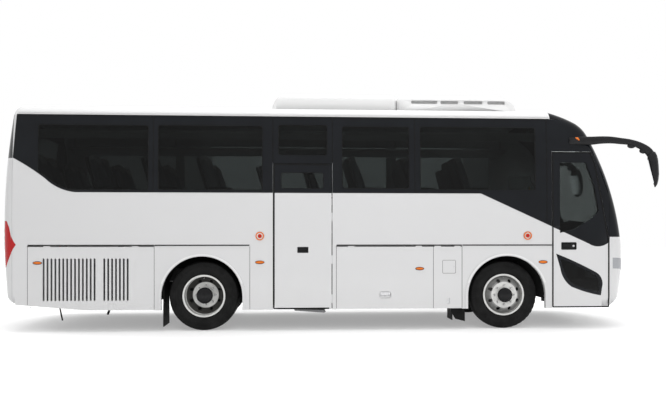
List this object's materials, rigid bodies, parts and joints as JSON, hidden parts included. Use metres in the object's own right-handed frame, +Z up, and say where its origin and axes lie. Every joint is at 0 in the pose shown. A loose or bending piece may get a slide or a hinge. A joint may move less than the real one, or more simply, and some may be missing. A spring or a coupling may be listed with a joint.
{
  "type": "coach bus",
  "caption": "Single-deck coach with dark side glass, entry and middle doors, lifting luggage and engine flaps, steered front wheels and twin rear wheels.",
  "frame": {"origin": "on the ground, midway along, across and below the whole coach with its mirrors", "axes": "+X forward, +Y to the coach's left, +Z up"},
  "size_m": [9.3207, 2.98, 3.3799],
  "materials": {
    "body_paint": "gloss light grey-white",
    "black_paint": "gloss black",
    "glass": "dark tinted",
    "black_plastic": "satin black",
    "grey_plastic": "satin",
    "black_metal": "satin black",
    "cast_metal": "matt",
    "underbody": "matt dark grey",
    "wheel_metal": "silver cream",
    "tyre": "matt rubber",
    "rubber": "matt",
    "amber_lens": "gloss",
    "red_lens": "gloss",
    "clear_lens": "gloss",
    "seat_fabric": "woven",
    "floor_vinyl": "matt"
  },
  "bodies": {
    "body": {"side_wall_right": "body_paint", "side_wall_left": "body_paint", "side_glass_right": "glass", "side_glass_left": "glass", "front_panel": "body_paint", "windscreen": "glass", "front_cap": "black_paint", "roof": "body_paint", "rear_panel": "body_paint", "rear_glass": "glass", "chassis": "black_metal", "front_axle": "black_metal", "rear_axle": "black_metal", "wheel_housings": "underbody", "floor_deck": "floor_vinyl", "entry_steps": "floor_vinyl", "luggage_bay": "underbody", "engine": "cast_metal", "fuel_tank": "underbody", "ac_unit": "body_paint", "roof_hatches": "body_paint", "mirror_right": "black_plastic", "mirror_left": "black_plastic", "wipers": "black_metal", "marker_lamps": "amber_lens", "tail_lamps": "red_lens", "headlamps": "clear_lens", "mudflaps": "rubber", "passenger_seats": "seat_fabric", "driver_seat": "seat_fabric", "dashboard": "black_plastic", "luggage_racks": "grey_plastic"},
    "steering_right": {"knuckle_right": "black_metal"},
    "steering_left": {"knuckle_left": "black_metal"},
    "road_wheel_front_right": {"tyre_front_right": "tyre", "wheel_front_right": "wheel_metal"},
    "road_wheel_front_left": {"tyre_front_left": "tyre", "wheel_front_left": "wheel_metal"},
    "road_wheel_rear_right": {"tyre_rear_right": "tyre", "wheel_rear_right": "wheel_metal"},
    "road_wheel_rear_left": {"tyre_rear_left": "tyre", "wheel_rear_left": "wheel_metal"},
    "door_arms": {"front_door_arms": "black_metal"},
    "entry_door": {"front_door": "body_paint", "front_door_glass": "glass"},
    "side_door": {"middle_door": "body_paint", "middle_door_glass": "glass"},
    "luggage_flap_right_leaf": {"luggage_flap_right": "body_paint"},
    "equipment_flap_right_leaf": {"equipment_flap_right": "body_paint"},
    "engine_flap_right_leaf": {"engine_flap_right": "body_paint"},
    "luggage_flap_left_leaf": {"luggage_flap_left": "body_paint"},
    "rear_luggage_flap_left_leaf": {"rear_luggage_flap_left": "body_paint"},
    "equipment_flap_left_leaf": {"equipment_flap_left": "body_paint"},
    "engine_flap_left_leaf": {"engine_flap_left": "body_paint"},
    "engine_lid_leaf": {"engine_lid": "body_paint"}
  },
  "joints": [
    {"name": "steer_left", "type": "hinge", "parent": "body", "child": "steering_left", "pos_m": [2.411, 0.87, 0.487], "axis": [0, 0, 1], "range_deg": [-40, 40]},
    {"name": "steer_right", "type": "hinge", "parent": "body", "child": "steering_right", "pos_m": [2.411, -0.87, 0.487], "axis": [0, 0, 1], "range_deg": [-40, 40]},
    {"name": "roll_front_left", "type": "hinge", "parent": "steering_left", "child": "road_wheel_front_left", "pos_m": [2.411, 1.03, 0.487], "axis": [0, 1, 0], "continuous": true},
    {"name": "roll_front_right", "type": "hinge", "parent": "steering_right", "child": "road_wheel_front_right", "pos_m": [2.411, -1.03, 0.487], "axis": [0, 1, 0], "continuous": true},
    {"name": "roll_rear_left", "type": "hinge", "parent": "body", "child": "road_wheel_rear_left", "pos_m": [-1.871, 0.8955, 0.487], "axis": [0, 1, 0], "continuous": true},
    {"name": "roll_rear_right", "type": "hinge", "parent": "body", "child": "road_wheel_rear_right", "pos_m": [-1.871, -0.8955, 0.487], "axis": [0, 1, 0], "continuous": true},
    {"name": "door_arm_swing", "type": "hinge", "parent": "body", "child": "door_arms", "pos_m": [3.866, -1.1, 0.8], "axis": [0, 0, 1], "range_deg": [0, 95]},
    {"name": "entry_door_swing", "type": "hinge", "parent": "door_arms", "child": "entry_door", "pos_m": [3.346, -1.1, 0.8], "axis": [0, 0, -1], "range_deg": [0, 95]},
    {"name": "side_door_swing", "type": "hinge", "parent": "body", "child": "side_door", "pos_m": [-0.073, -1.234, 1], "axis": [0, 0, 1], "range_deg": [0, 90]},
    {"name": "luggage_flap_right_lift", "type": "hinge", "parent": "body", "child": "luggage_flap_right_leaf", "pos_m": [0.6785, -1.234, 1.186], "axis": [-1, 0, 0], "range_deg": [0, 85]},
    {"name": "equipment_flap_right_lift", "type": "hinge", "parent": "body", "child": "equipment_flap_right_leaf", "pos_m": [1.5735, -1.234, 1.186], "axis": [-1, 0, 0], "range_deg": [0, 85]},
    {"name": "engine_flap_right_lift", "type": "hinge", "parent": "body", "child": "engine_flap_right_leaf", "pos_m": [-3.4015, -1.234, 1.186], "axis": [-1, 0, 0], "range_deg": [0, 85]},
    {"name": "luggage_flap_left_lift", "type": "hinge", "parent": "body", "child": "luggage_flap_left_leaf", "pos_m": [0.6785, 1.234, 1.186], "axis": [1, 0, 0], "range_deg": [0, 85]},
    {"name": "rear_luggage_flap_left_lift", "type": "hinge", "parent": "body", "child": "rear_luggage_flap_left_leaf", "pos_m": [-0.617, 1.234, 1.186], "axis": [1, 0, 0], "range_deg": [0, 85]},
    {"name": "equipment_flap_left_lift", "type": "hinge", "parent": "body", "child": "equipment_flap_left_leaf", "pos_m": [1.5735, 1.234, 1.186], "axis": [1, 0, 0], "range_deg": [0, 85]},
    {"name": "engine_flap_left_lift", "type": "hinge", "parent": "body", "child": "engine_flap_left_leaf", "pos_m": [-3.4015, 1.234, 1.186], "axis": [1, 0, 0], "range_deg": [0, 85]},
    {"name": "engine_lid_lift", "type": "hinge", "parent": "body", "child": "engine_lid_leaf", "pos_m": [-4.654, 0, 1.505], "axis": [0, 1, 0], "range_deg": [0, 70]}
  ],
  "couplings": [
    {"joint": "steer_right", "follows": "steer_left", "ratio": 1},
    {"joint": "entry_door_swing", "follows": "door_arm_swing", "ratio": 1}
  ]
}
